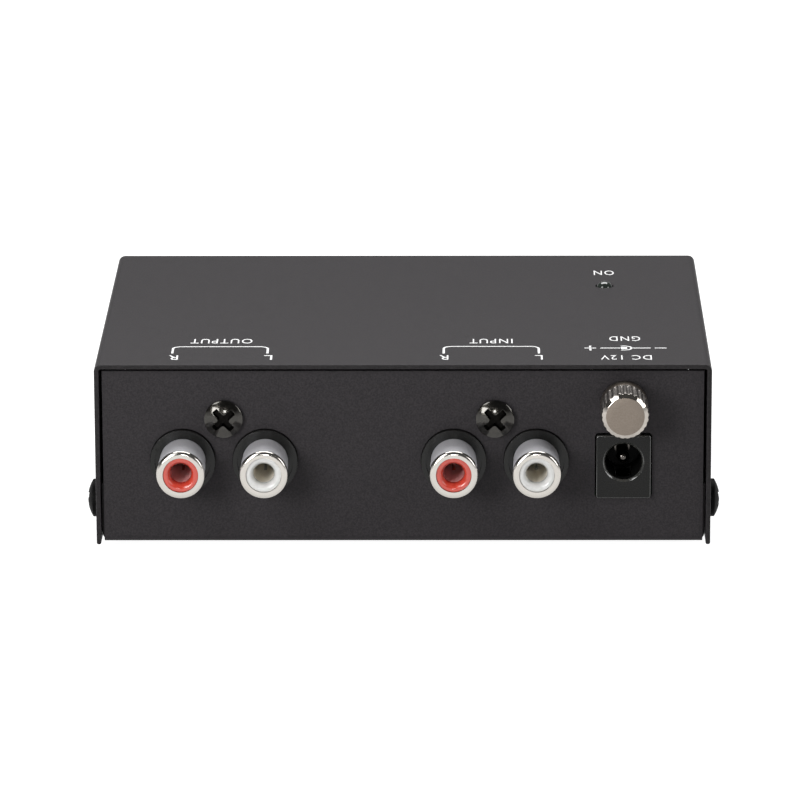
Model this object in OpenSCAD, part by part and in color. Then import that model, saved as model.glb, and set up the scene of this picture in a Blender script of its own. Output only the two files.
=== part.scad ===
// Phono preamp in a folded steel case. The rear panel carries two pairs of phono
// sockets, a DC power socket and a knurled earth terminal. The circuit board behind
// it takes their contacts. X is the width, +Y the rear and +Z up. The feet stand on
// z = 0, and the origin lies under the middle of the whole outline.

/* [Case] */
// Outer width of the cover
case_w = 104.5; // [94.5:0.5:120]
// Depth of the cover from its front edge to its rear edge
case_d = 76; // [69:0.5:100]
// Height from the tray's underside to the top of the cover
case_h = 31.5; // [28.75:0.25:40]
// Thickness of the steel sheet
sheet_t = 0.8; // [0.7:0.05:1]
// Outer radius of every fold
fold_r = 1.2; // [1.1:0.1:1.8]
// How far each panel stands inside the cover's edge
panel_recess = 0.8; // [0.4:0.1:1.2]
// Gap between a panel's edges and the cover
panel_gap = 0.5; // [0.2:0.05:0.8]
// How far the cover's sides hang below the tray
cover_drop = 0.2; // [0:0.1:1]
// Height of the tray's side flanges
flange_h = 10; // [9:0.5:14]
// Distance from a panel's fold to the end of a side flange
flange_setback = 0.4; // [0.2:0.1:2.8]
// Gap between a side flange and the cover
flange_gap = 0.1; // [0.05:0.05:0.3]

/* [Feet] */
// Diameter of a rubber foot
foot_d = 9; // [6:0.5:12]
// Height of a rubber foot
foot_h = 2.2; // [1.6:0.2:5]
// Distance from the cover's side to the middle of a foot
foot_inset_x = 16.25; // [12:0.25:20]
// Distance from the cover's edge to the middle of a foot
foot_inset_y = 15.5; // [12:0.5:20]

/* [Screws] */
// Thread diameter of the case, board and socket screws
screw_d = 3; // [2.6:0.1:3.2]
// Diameter of a screw's pan head
screw_head_d = 6.5; // [5.6:0.1:6.6]
// Height of a screw's pan head
screw_head_h = 1.9; // [1.6:0.1:2.2]
// Height of the head's straight edge
screw_edge_h = 0.9; // [0.4:0.1:0.9]
// Length of the cross recess, tip to tip
recess_l = 4.4; // [3.4:0.1:4.4]
// Width of one arm of the cross recess
recess_w = 1.1; // [0.7:0.05:1.2]
// Depth of the cross recess
recess_depth = 1.3; // [0.8:0.1:1.5]
// Radial gap between a thread and its tapped hole
tap_gap = 0.02; // [0.01:0.01:0.05]
// Radial gap between a screw and a plain hole
screw_clear = 0.15; // [0.1:0.05:0.3]
// Length of a side screw under its head
side_screw_l = 4; // [3.5:0.5:4]
// Distance from the cover's edge to a side screw
side_screw_inset = 8; // [7:0.5:12]
// Height of the side screws above the tray's underside
side_screw_z = 5.8; // [4.6:0.2:6]
// Length of a socket screw under its head
jack_screw_l = 8; // [6:0.5:9]
// Length of a board screw under its head
board_screw_l = 5; // [4:0.5:6]

/* [Phono sockets] */
// Distance from the cover's +X side to the middle of the output pair
output_inset = 21.85; // [20.25:0.05:23.25]
// Distance from the cover's -X side to the middle of the input pair
input_inset = 36.65; // [35.25:0.05:37.65]
// Distance between the two sockets of a pair
jack_pitch = 14; // [13.5:0.5:14.5]
// Height of a phono socket's axis above the board
jack_rise = 6.5; // [6.3:0.1:7]
// Height of the fixing screw above the sockets' axis
jack_screw_rise = 7.45; // [7.2:0.05:8]
// Outer diameter of the collar round a socket
collar_d = 11; // [10.5:0.1:11.5]
// How far a collar stands out of the panel
collar_proud = 1; // [0.7:0.1:1.5]
// Width of a collar's raised rim
collar_rim_w = 0.75; // [0.6:0.05:0.75]
// Depth of the ring between the rim and the barrel
collar_step = 0.5; // [0.3:0.1:0.6]
// Radial gap between a collar and the panel
collar_gap = 0.1; // [0.05:0.05:0.2]
// Outer diameter of a socket's metal barrel
barrel_d = 8.3; // [8.1:0.1:8.5]
// How far a barrel's face stands out of the panel
barrel_l = 9.3; // [8.6:0.1:10]
// Rounding of a barrel's front edge
barrel_edge_r = 0.7; // [0.4:0.1:0.9]
// How much thinner the barrel is, all round, where the housing grips it
barrel_seat_step = 0.25; // [0.2:0.05:0.35]
// Diameter of the coloured insulator
insulator_d = 6; // [5.6:0.1:6.4]
// How far the insulator's face lies inside the barrel's
insulator_sunk = 0.25; // [0.1:0.05:0.5]
// Diameter of the hole for a plug's pin
socket_d = 3.5; // [3.3:0.1:3.6]
// Rounding of that hole's mouth
mouth_r = 0.8; // [0.5:0.1:0.9]
// Wall of the sprung centre contact
contact_t = 0.25; // [0.2:0.05:0.3]
// Depth from that mouth to the centre contact
contact_sunk = 1; // [0.1:0.1:1]
// Width of the slot under the contact, which lets it spring
contact_slot_w = 0.5; // [0.3:0.05:0.6]
// Depth of a socket housing behind the panel
housing_d = 10; // [9:0.5:10.5]
// Thickness of the housing wall that grips the barrels
housing_wall = 5; // [4:0.5:5.5]
// Width of the block round one socket
block_w = 11; // [10.6:0.1:11.2]
// Height of that block above the socket's axis
block_rise = 6.1; // [5.6:0.1:6.6]
// Width of the boss between the blocks
boss_w = 7.5; // [7:0.5:9]
// Height of that boss above the fixing screw's axis
boss_rise = 3.45; // [2.5:0.05:4]

/* [Power socket] */
// Distance from the cover's -X side to the middle of the power socket
dc_inset = 14.85; // [14.25:0.1:15.25]
// Width of its face
dc_w = 9.3; // [8.8:0.1:9.4]
// Height of its face
dc_h = 11.1; // [10.7:0.1:11.2]
// Length of its body
dc_l = 14.2; // [13.5:0.1:14.5]
// Length of the full-height block behind its face
dc_block_l = 3.5; // [3:0.5:5]
// How far its face stands out of the panel
dc_proud = 1; // [0.5:0.1:1.5]
// Diameter of its hole
dc_hole_d = 6.3; // [5.8:0.1:6.5]
// Depth of its hole
dc_hole_depth = 9.5; // [9:0.5:10]
// Diameter of its centre pin
dc_pin_d = 2.1; // [1.9:0.1:2.5]
// Diameter of the pin where the body grips it
dc_pin_seat_d = 2.6; // [2.6:0.1:3]
// Depth of the pin's tip inside the face
dc_pin_sunk = 2.6; // [0.5:0.1:3]
// Depth of the sprung leaf's slot inside the face
dc_leaf_sunk = 2.2; // [1.2:0.1:2.4]
// Gap between the power socket and the panel's cut-out
dc_gap = 0.2; // [0.1:0.05:0.25]
// Corner radius of its face and cut-out
dc_corner_r = 0.5; // [0.3:0.1:0.8]

/* [Earth terminal] */
// Distance from the cover's -X side to the middle of the terminal
post_inset = 14.85; // [14.25:0.1:15.25]
// How far up the terminal stands between the power socket and the cover's sheet
post_share = 0.48; // [0.46:0.01:0.5]
// Thread diameter of the post
post_d = 4; // [3.5:0.1:4]
// Diameter of the post's outer flange
post_flange_d = 6.6; // [6:0.1:7]
// Thickness of that flange
post_flange_t = 0.6; // [0.4:0.1:0.8]
// Length of thread outside the flange
post_out_l = 6; // [5.8:0.1:6.2]
// Length of thread inside the panel
post_in_l = 5; // [4.5:0.1:6]
// Diameter of the loose washer
washer_d = 8; // [7:0.1:8.5]
// Thickness of the loose washer
washer_t = 0.5; // [0.4:0.1:0.6]
// Radial gap between the post and what runs on it
running_gap = 0.05; // [0.02:0.01:0.08]
// Diameter of the thumb nut
nut_d = 8.1; // [7.6:0.1:8.2]
// Length of the thumb nut
nut_l = 8; // [7.6:0.1:8.6]
// Length of its plain collar
nut_collar_l = 2.4; // [1.5:0.1:3]
// Diameter of its flat face
nut_face_d = 6.5; // [6:0.1:7]
// Length of the bevel round its face
nut_bevel_l = 0.5; // [0.4:0.1:1.5]
// Number of flutes round it
flute_count = 25; // [20:1:28]
// Radius of the cutter that makes a flute
flute_r = 0.38; // [0.3:0.02:0.4]
// Depth of a flute
flute_depth = 0.22; // [0.18:0.02:0.34]

/* [Indicator] */
// Distance from the cover's -X side to the indicator lamp
led_inset_x = 16.85; // [16.25:0.1:17.25]
// Distance from the cover's front edge to the lamp
led_inset_y = 22.2; // [21:0.1:23]
// Diameter of the lamp
led_d = 3; // [2.9:0.1:3.1]
// Height of the lamp
led_h = 5.3; // [4.8:0.1:5.5]
// How far the lamp stands out of the cover
led_proud = 0.8; // [0.2:0.1:1]
// Radial gap between the lamp and the cover
led_gap = 0.1; // [0.1:0.05:0.4]

/* [Circuit board] */
// Gap between the board's side edges and the outside of the cover
board_side_gap = 5.25; // [4.75:0.25:5.5]
// Gap between the board and the rear panel
board_rear_gap = 0.5; // [0.3:0.1:1]
// Gap between the board and the front panel
board_front_gap = 6.3; // [4.3:0.1:6.8]
// Thickness of the board
board_t = 1.6; // [1.4:0.1:1.6]
// Height of the board's underside above the tray's underside
board_rise = 6.4; // [6.3:0.1:6.7]
// Distance from the board's side edge to a board screw
board_screw_side = 3.5; // [3.5:0.25:4]
// Distance from the cover's rear edge to the rear board screws
board_screw_rear = 24; // [23.5:0.5:24.5]
// Distance from the cover's front edge to the front board screws
board_screw_front = 13; // [12:0.5:13.5]
// Diameter of a standoff
standoff_d = 6; // [5.5:0.1:6.2]
// Diameter of the standoff's foot pressed into the tray
standoff_foot_d = 4.8; // [4.4:0.1:5]
// Radius of the leads
lead_r = 0.3; // [0.25:0.05:0.35]
// Radial gap between a lead and the board
lead_gap = 0.15; // [0.1:0.05:0.2]

/* [Hidden] */
$fn = 48;

// Case planes
y_shift = (barrel_l - panel_recess) / 2;
y_rear = case_d / 2 - y_shift;
y_front = y_rear - case_d;
y_panel = y_rear - panel_recess;
y_inner = y_panel - sheet_t;
floor_z = foot_h;
top_z = floor_z + case_h;
cover_h = case_h + cover_drop;
tray_d = case_d - 2 * panel_recess;
panel_w = case_w - 2 * (sheet_t + panel_gap);
panel_h = case_h - sheet_t - panel_gap;
flange_w = case_w - 2 * (sheet_t + flange_gap);
flange_inset = fold_r + flange_setback;
flange_l = tray_d - 2 * flange_inset;
boss_l = 1.2;
thread_boss_d = 5;
side_screw_rows = [y_rear - side_screw_inset, y_front + side_screw_inset];

// Board planes
board_z = floor_z + board_rise;
board_top = board_z + board_t;
board_rear = y_inner - board_rear_gap;
board_front = y_front + panel_recess + sheet_t + board_front_gap;
board_d = board_rear - board_front;
board_w = case_w - 2 * board_side_gap;
board_screw_spots = [for (side = [-1, 1], y = [y_rear - board_screw_rear, y_front + board_screw_front])
    [side * (board_w / 2 - board_screw_side), y]];
lead_tail = 1.4;
lead_bottom = board_z - lead_tail;

// Socket planes
output_x = case_w / 2 - output_inset;
input_x = input_inset - case_w / 2;
jack_z = board_top + jack_rise;
block_h = jack_rise + block_rise;
boss_h = jack_rise + jack_screw_rise + boss_rise;
barrel_seat_d = barrel_d - 2 * barrel_seat_step;
barrel_face = y_panel + barrel_l;
collar_face = y_panel + collar_proud;
pocket_y = y_inner - housing_wall;
tag_t = 0.5;
tag_w = 1.2;
tag_ring_d = barrel_seat_d + 1.2;
tail_t = 0.4;
tail_w = 1;
tail_y = pocket_y - 2.6;
contact_face = barrel_face - insulator_sunk - mouth_r - contact_sunk;
pocket_w = tag_ring_d + 0.4;
pocket_rise = pocket_w / 2 + 0.4;

// Power socket planes
dc_x = dc_inset - case_w / 2;
dc_face = y_panel + dc_proud;
dc_rise = dc_h - dc_w / 2;
dc_z = board_top + dc_rise;
dc_top = board_top + dc_h;
dc_blade_w = 2.6;
dc_blade_t = 0.6;
dc_rear = dc_face - dc_l;
dc_spring_y = dc_face - 7.5;
dc_slot_w = 3;
dc_slot_depth = 1.3;

// Earth terminal planes
post_x = post_inset - case_w / 2;
post_z = dc_top + post_share * (top_z - sheet_t - dc_top);
flange_face = y_panel + post_flange_t;
washer_face = flange_face + washer_t;
nut_face = washer_face + nut_l;
hex_af = 1.75 * post_d;
hex_t = 2.2;
lug_t = 0.5;
lug_d = 2 * post_d;
lug_tail_w = 3;
lug_fold_x = lug_d / 2 + 0.8;
lug_fold_l = 5.6;
lug_hole_in = 4.2;
lock_washer_t = 0.6;
wire_d = 1;
wire_x = post_x + lug_fold_x + lug_t + 1.4;

// Lamp
led_x = led_inset_x - case_w / 2;
led_y = y_front + led_inset_y;
led_flange_d = led_d + 0.8;
led_flange_t = 1;
led_base = top_z + led_proud - led_h;
led_pitch = 2.54;
led_spacer_d = 5;

// Component sizes
can_d = 5;
can_h = 11;
can_pitch = 2;
filter_d = 10;
filter_h = 16;
filter_pitch = 5;
can_groove_z = 1.6;
film_w = 7.2;
film_t = 2.5;
film_h = 6.5;
film_pitch = 5;
chip_w = 6.4;
chip_l = 9.4;
chip_h = 3.3;
chip_row = 7.62;
chip_pitch = 2.54;
chip_lift = 0.6;
chip_notch_d = 1.6;
chip_notch_depth = 0.4;
resistor_d = 2.3;
resistor_l = 6.3;
resistor_pitch = 10;
diode_d = 2.7;
diode_l = 5.2;
diode_pitch = 12.5;
regulator_w = 10;
regulator_t = 4.4;
regulator_h = 9;
regulator_lift = 4;
regulator_tab_t = 1.3;
regulator_tab_h = 15;
regulator_hole_d = 3.6;
regulator_hole_in = 3;

// Component places: columns go with the board's width, and each row is a count of
// steps from the cover's rear edge, with 66 steps along the board
channel_x = [0, 0.2713 * board_w];
supply_x = -0.2234 * board_w;
diode_inset = 11;
can_column = 7.5;
film_column = 8.5;
flat_column = 9.5;
deep_column = 6.2;
supply_column = 7;
row_step = board_d / 66;
coupling_spots = [for (x = channel_x, column = [-can_column, 0], row = [22, 54])
    spot(x + column, row)];
filter_spots = [for (row = [24, 36]) spot(supply_x, row)];
film_spots = [for (x = channel_x, row = [18, 22, 26, 30]) spot(x + film_column, row)];
chip_spots = [for (x = channel_x) spot(x, 38)];
flat_resistor_spots = [for (x = channel_x, row = [36, 40, 44, 48, 58]) spot(x + flat_column, row)];
deep_resistor_spots = concat([for (x = channel_x) spot(x - deep_column, 38)],
    [spot(supply_x - supply_column, 56)]);
diode_spot = spot(diode_inset - board_w / 2, 27);
regulator_spot = spot(supply_x, 49);

// Every lead that goes through the board, as its X and Y
capacitor_lead_spots = concat(
    pairs_x(coupling_spots, can_pitch), pairs_x(filter_spots, filter_pitch),
    pairs_x(film_spots, film_pitch));
resistor_lead_spots = concat(
    pairs_x(flat_resistor_spots, resistor_pitch), pairs_y(deep_resistor_spots, resistor_pitch));
chip_pin_spots = [for (c = chip_spots, s = [-1, 1], i = [0 : 3])
    [c[0] + s * chip_row / 2, c[1] + (i - 1.5) * chip_pitch]];
regulator_lead_spots = [for (i = [-1, 0, 1]) regulator_spot + [i * chip_pitch, 0]];
led_lead_spots = pairs_x([[led_x, led_y]], led_pitch);
lead_spots = concat(capacitor_lead_spots, resistor_lead_spots, chip_pin_spots,
    regulator_lead_spots, led_lead_spots, pairs_y([diode_spot], diode_pitch));

function spot(x, row) = [x, y_rear - row * row_step];
function pairs_x(spots, pitch) = [for (p = spots, s = [-1, 1]) p + [s * pitch / 2, 0]];
function pairs_y(spots, pitch) = [for (p = spots, s = [-1, 1]) p + [0, s * pitch / 2]];

// ---- shared shapes ----

// Upright outline whose two lower corners are rounded
module pan_2d(w, h, r) {
    translate([r, r]) circle(r);
    translate([w - r, r]) circle(r);
    translate([r, 0]) square([w - 2 * r, h]);
    translate([0, r]) square([w, h - r]);
}

// Cross-section of a sheet folded up at both ends
module channel_2d(w, h) {
    difference() {
        pan_2d(w, h, fold_r);
        translate([sheet_t, sheet_t]) pan_2d(w - 2 * sheet_t, h, fold_r - sheet_t);
    }
}

// Rectangle with all four corners rounded, about the origin
module rounded_2d(w, h, r) {
    square([w - 2 * r, h], center = true);
    square([w, h - 2 * r], center = true);
    for (x = [-1, 1], y = [-1, 1]) translate([x * (w / 2 - r), y * (h / 2 - r)]) circle(r);
}

// Cylinder along Y from one plane to another
module rod_y(x, z, d, y0, y1) {
    translate([x, y0, z]) rotate([-90, 0, 0]) cylinder(d = d, h = y1 - y0);
}

// Turned piece whose outline is drawn with its axis along Z, set down along Y
module turned_y(x, y, z) {
    translate([x, y, z]) rotate([-90, 0, 0]) rotate_extrude() children();
}

// Upright cylinder
module rod_z(p, z0, z1, d) {
    translate([p[0], p[1], z0]) cylinder(d = d, h = z1 - z0);
}

// Block centred on a place on the board
module block(p, z0, size) {
    translate([p[0] - size[0] / 2, p[1] - size[1] / 2, z0]) cube(size);
}

// Pan-head screw whose head sits on z = 0
module pan_screw(l, d) {
    cap_h = screw_head_h - screw_edge_h;
    dome_r = (pow(screw_head_d / 2, 2) + pow(cap_h, 2)) / (2 * cap_h);
    difference() {
        intersection() {
            cylinder(d = screw_head_d, h = screw_head_h);
            translate([0, 0, screw_head_h - dome_r]) sphere(dome_r);
        }
        translate([0, 0, screw_head_h - recess_depth]) {
            for (turn = [45, 135]) rotate([0, 0, turn])
                translate([-recess_l / 2, -recess_w / 2, 0]) cube([recess_l, recess_w, screw_head_h]);
            cylinder(d1 = recess_w, d2 = 2.6 * recess_w, h = recess_depth + 0.2);
        }
    }
    translate([0, 0, -l]) cylinder(d = d, h = l);
}

// ---- case ----

// Folded sheet of the tray before its holes are made
module tray_shell() {
    edge_w = fold_r + panel_gap;
    difference() {
        translate([-panel_w / 2, y_front + panel_recess, floor_z])
            rotate([90, 0, 90]) linear_extrude(panel_w) channel_2d(tray_d, panel_h);
        for (side = [-1, 1])
            translate([side * (flange_w / 2 - fold_r + edge_w / 2), y_panel - tray_d / 2, floor_z])
                cube([edge_w, flange_l, 3 * sheet_t], center = true);
    }
    translate([-flange_w / 2, y_panel - flange_inset, floor_z])
        rotate([90, 0, 0]) linear_extrude(flange_l) channel_2d(flange_w, flange_h);
    for (side = [-1, 1], y = side_screw_rows)
        translate([side * (flange_w / 2 - sheet_t / 2), y, floor_z + side_screw_z])
            rotate([0, -side * 90, 0]) cylinder(d = thread_boss_d, h = boss_l + sheet_t / 2);
}

// Openings of the rear panel
module panel_openings() {
    y0 = y_inner - sheet_t;
    y1 = y_panel + sheet_t;
    for (x = [output_x, input_x]) {
        for (side = [-1, 1])
            rod_y(x + side * jack_pitch / 2, jack_z, collar_d + 2 * collar_gap, y0, y1);
        rod_y(x, jack_z + jack_screw_rise, screw_d + 2 * screw_clear, y0, y1);
    }
    rod_y(post_x, post_z, post_d + 2 * screw_clear, y0, y1);
    translate([dc_x, y1, board_top + dc_h / 2]) rotate([90, 0, 0]) linear_extrude(y1 - y0)
        rounded_2d(dc_w + 2 * dc_gap, dc_h + 2 * dc_gap, dc_corner_r + dc_gap);
}

// Steel floor, front panel, rear panel and low side flanges, folded from one sheet
module chassis_tray() color("#343336") difference() {
    tray_shell();
    panel_openings();
    for (y = side_screw_rows)
        translate([-case_w / 2, y, floor_z + side_screw_z]) rotate([0, 90, 0])
            cylinder(d = screw_d + 2 * tap_gap, h = case_w);
    for (p = board_screw_spots) rod_z(p, floor_z - 1, floor_z + 3 * sheet_t, standoff_foot_d);
}

// Top and two sides, folded from one sheet
module top_cover() color("#4a494c") difference() {
    translate([0, y_rear, top_z]) rotate([90, 0, 0]) linear_extrude(case_d)
        mirror([0, 1, 0]) translate([-case_w / 2, 0]) channel_2d(case_w, cover_h);
    rod_z([led_x, led_y], top_z - 3 * sheet_t, top_z + 1, led_d + 2 * led_gap);
    for (y = side_screw_rows)
        translate([-case_w, y, floor_z + side_screw_z]) rotate([0, 90, 0])
            cylinder(d = screw_d + 2 * screw_clear, h = 2 * case_w);
}

// Four rubber feet with a rounded lower edge
module feet() color("#1c1c1c") {
    edge = 0.6;
    for (x = [-1, 1], y = [y_rear - foot_inset_y, y_front + foot_inset_y])
        translate([x * (case_w / 2 - foot_inset_x), y, 0]) rotate_extrude() {
            square([foot_d / 2 - edge, foot_h]);
            translate([0, edge]) square([foot_d / 2, foot_h - edge]);
            translate([foot_d / 2 - edge, edge]) circle(edge);
        }
}

// Four screws that hold the cover to the tray's flanges
module side_screws() color("#1b1b1c")
    for (side = [-1, 1], y = side_screw_rows)
        translate([side * case_w / 2, y, floor_z + side_screw_z])
            rotate([0, side * 90, 0]) pan_screw(side_screw_l, screw_d);

// ---- phono sockets ----

// Moulded housing of one pair, with its two collars through the panel
module jack_housing(x) color("#222223") difference() {
    union() {
        for (side = [-1, 1]) {
            translate([x + side * jack_pitch / 2 - block_w / 2, y_inner - housing_d, board_top])
                cube([block_w, housing_d, block_h]);
            rod_y(x + side * jack_pitch / 2, jack_z, collar_d, y_inner - 1, collar_face);
        }
        translate([x - boss_w / 2, y_inner - housing_d, board_top]) cube([boss_w, housing_d, boss_h]);
    }
    for (side = [-1, 1]) {
        rod_y(x + side * jack_pitch / 2, jack_z, barrel_seat_d, pocket_y - 1, collar_face + 1);
        rod_y(x + side * jack_pitch / 2, jack_z, collar_d - 2 * collar_rim_w,
            collar_face - collar_step, collar_face + 1);
        translate([x + side * jack_pitch / 2 - pocket_w / 2, pocket_y - housing_d, board_top - 1])
            cube([pocket_w, housing_d, jack_rise + pocket_rise + 1]);
    }
    rod_y(x, jack_z + jack_screw_rise, screw_d + 2 * tap_gap,
        y_panel - jack_screw_l - 0.5, y_panel);
}

// Two screws that hold the housings to the panel
module jack_screws() color("#1b1b1c")
    for (x = [output_x, input_x])
        translate([x, y_panel, jack_z + jack_screw_rise]) rotate([-90, 0, 0])
            pan_screw(jack_screw_l, screw_d);

// Nickel-plated barrel with its rear flange and solder tag
module jack_barrel(x) color("#b9bac0") {
    front = barrel_face - pocket_y;
    step = collar_face - collar_step - pocket_y;
    wall = (barrel_d - insulator_d) / 2;
    seat_wall = (barrel_seat_d - insulator_d) / 2;
    turned_y(x, pocket_y, jack_z) translate([insulator_d / 2, 0]) {
        square([seat_wall, front - barrel_edge_r]);
        translate([0, step]) square([wall, front - step - barrel_edge_r]);
        translate([0, step]) square([wall - barrel_edge_r, front - step]);
        intersection() {
            translate([wall - barrel_edge_r, front - barrel_edge_r]) circle(barrel_edge_r);
            square([wall, front]);
        }
        translate([0, -tag_t]) square([(tag_ring_d - insulator_d) / 2, tag_t]);
    }
    translate([x - 2 * tag_w / 2, pocket_y - tag_t, board_top + 0.3])
        cube([2 * tag_w, tag_t, jack_rise - 0.3 - insulator_d / 2 - 0.1]);
    translate([x - tag_w / 2, pocket_y - tag_t, lead_bottom])
        cube([tag_w, tag_t, jack_rise + board_t + lead_tail - insulator_d / 2 - 0.1]);
}

// Coloured insulator that lines the barrel
module jack_insulator(x, tint) color(tint) {
    depth = barrel_face - insulator_sunk - pocket_y;
    sleeve_r = socket_d / 2 + contact_t;
    turned_y(x, pocket_y, jack_z) difference() {
        square([insulator_d / 2, depth]);
        translate([0, -1]) square([socket_d / 2, depth + 2]);
        translate([0, -1]) square([sleeve_r, depth - mouth_r - contact_sunk + 1]);
        difference() {
            translate([0, depth - mouth_r]) square([socket_d / 2 + mouth_r, mouth_r + 1]);
            translate([socket_d / 2 + mouth_r, depth - mouth_r]) circle(mouth_r);
        }
    }
}

// Slotted spring sleeve that grips a plug's pin, with its tail down to the board
module jack_contact(x) color("#b9b3a4") {
    sleeve_r = socket_d / 2 + contact_t;
    difference() {
        rod_y(x, jack_z, 2 * sleeve_r, tail_y, contact_face);
        rod_y(x, jack_z, socket_d, tail_y - 1, contact_face + 1);
        translate([x - contact_slot_w / 2, pocket_y + 1, jack_z - sleeve_r - 1])
            cube([contact_slot_w, y_panel - pocket_y - 1, sleeve_r + 1]);
    }
    translate([x - tail_w, tail_y - tail_t, board_top + 0.3])
        cube([2 * tail_w, tail_t, jack_rise - 0.3 + sleeve_r]);
    translate([x - tail_w / 2, tail_y - tail_t, lead_bottom])
        cube([tail_w, tail_t, jack_rise + board_t + lead_tail]);
}

// ---- power socket ----

// Moulded body with its round-topped rear part
module dc_jack_housing() color("#262626") {
    bevel = 0.35;
    pocket_d = 1.8;
    lap = 1;
    difference() {
        union() {
            translate([dc_x, dc_face, board_top + dc_h / 2]) rotate([90, 0, 0])
                linear_extrude(dc_block_l) rounded_2d(dc_w, dc_h, dc_corner_r);
            rod_y(dc_x, dc_z, dc_w, dc_rear, dc_face - dc_block_l + lap);
            translate([dc_x - dc_w / 2, dc_rear, board_top])
                cube([dc_w, dc_l - dc_block_l + lap, dc_rise]);
        }
        rod_y(dc_x, dc_z, dc_hole_d, dc_face - dc_hole_depth, dc_face + 1);
        turned_y(dc_x, dc_face, dc_z)
            polygon([[0, -bevel], [dc_hole_d / 2, -bevel], [dc_hole_d / 2 + bevel, 0.01],
                [dc_hole_d / 2 + bevel, 1], [0, 1]]);
        rod_y(dc_x, dc_z, dc_pin_seat_d, dc_rear - 1, dc_face);
        translate([dc_x - dc_slot_w / 2, dc_rear - 1, board_top - 1])
            cube([dc_slot_w, pocket_d + 1, dc_rise + dc_pin_d]);
        translate([dc_x - dc_slot_w / 2, dc_spring_y, dc_z - dc_hole_d / 2 - dc_slot_depth])
            cube([dc_slot_w, dc_face - dc_leaf_sunk - dc_spring_y, dc_slot_depth + 1]);
        translate([dc_x - dc_slot_w / 2, dc_spring_y, board_top - 1])
            cube([dc_slot_w, 1.2, dc_rise - 1]);
    }
}

// Centre pin with its rounded tip, rear head and blade
module dc_jack_pin() color("#c9c6bd") {
    tip = dc_face - dc_pin_sunk;
    rod_y(dc_x, dc_z, dc_pin_d, dc_rear + 0.6, tip - dc_pin_d / 2);
    rod_y(dc_x, dc_z, dc_pin_seat_d, dc_rear + 0.6, dc_face - dc_hole_depth);
    translate([dc_x, tip - dc_pin_d / 2, dc_z]) sphere(d = dc_pin_d);
    translate([dc_x - dc_blade_w / 2, dc_rear + 0.6, lead_bottom])
        cube([dc_blade_w, dc_blade_t, dc_z + dc_pin_d / 2 - lead_bottom]);
}

// Sprung leaf under the plug, with its blade
module dc_jack_spring() color("#c9c6bd") {
    leaf_w = 2.2;
    leaf_t = 0.3;
    lift = 0.5;
    low = dc_z - dc_hole_d / 2 - dc_slot_depth + 0.1;
    end = dc_face - dc_leaf_sunk - 0.4 - dc_spring_y;
    translate([dc_x - leaf_w / 2, dc_spring_y + 0.2, 0]) rotate([90, 0, 90]) linear_extrude(leaf_w)
        polygon([[0, low], [end - 2, low + 1.2 + lift], [end, low + 0.6],
            [end, low + 0.6 + leaf_t], [end - 2, low + 1.2 + lift + leaf_t], [0, low + leaf_t]]);
    translate([dc_x - dc_blade_w / 2, dc_spring_y + 0.2, lead_bottom])
        cube([dc_blade_w, dc_blade_t, low + leaf_t - lead_bottom]);
}

// ---- earth terminal ----

// Threaded post with the flange that rests on the panel
module ground_post() color("#b7a77c") {
    rod_y(post_x, post_z, post_d, y_panel - sheet_t - post_in_l, flange_face + post_out_l);
    rod_y(post_x, post_z, post_flange_d, y_panel, flange_face);
}

// Solder lug with its folded tail
module ground_lug() color("#c4c4c0") {
    fold_x = post_x + lug_fold_x;
    difference() {
        union() {
            rod_y(post_x, post_z, lug_d, y_inner - lug_t, y_inner);
            translate([post_x, y_inner - lug_t, post_z - lug_tail_w / 2])
                cube([lug_fold_x + lug_t, lug_t, lug_tail_w]);
            translate([fold_x, y_inner - lug_fold_l, post_z - lug_tail_w / 2])
                cube([lug_t, lug_fold_l, lug_tail_w]);
        }
        rod_y(post_x, post_z, post_d + 2 * running_gap, y_inner - 1, y_inner + 1);
        translate([fold_x - 1, y_inner - lug_hole_in, post_z]) rotate([0, 90, 0])
            cylinder(d = wire_d + 0.2, h = 3);
    }
}

// Split lock washer between the lug and the nut
module ground_lock_washer() color("#a9a9a6") difference() {
    rod_y(post_x, post_z, hex_af, y_inner - lug_t - lock_washer_t, y_inner - lug_t);
    rod_y(post_x, post_z, post_d + 2 * running_gap, y_inner - 2, y_inner);
    translate([post_x, y_inner - 2, post_z - 0.3]) cube([hex_af, 3, 0.6]);
}

// Hexagon nut that clamps the post to the panel
module ground_hex_nut() color("#b7a77c") {
    rear = y_inner - lug_t - lock_washer_t - hex_t;
    difference() {
        translate([post_x, rear, post_z]) rotate([-90, 0, 0])
            cylinder(d = hex_af / cos(30), h = hex_t, $fn = 6);
        rod_y(post_x, post_z, post_d + 2 * tap_gap, rear - 1, rear + hex_t + 1);
    }
}

// Stiff wire from the lug down to the board
module ground_wire() color("#c98a52") {
    x0 = post_x + lug_fold_x - 1;
    y = y_inner - lug_hole_in;
    translate([x0, y, post_z]) rotate([0, 90, 0]) cylinder(d = wire_d, h = wire_x - x0);
    translate([wire_x, y, post_z]) sphere(d = wire_d);
    rod_z([wire_x, y], lead_bottom, post_z, wire_d);
}

// Loose washer that travels with the thumb nut
module ground_washer() color("#b9b4ac") difference() {
    rod_y(post_x, post_z, washer_d, flange_face, washer_face);
    rod_y(post_x, post_z, post_d + 2 * running_gap, flange_face - 1, washer_face + 1);
}

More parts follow.
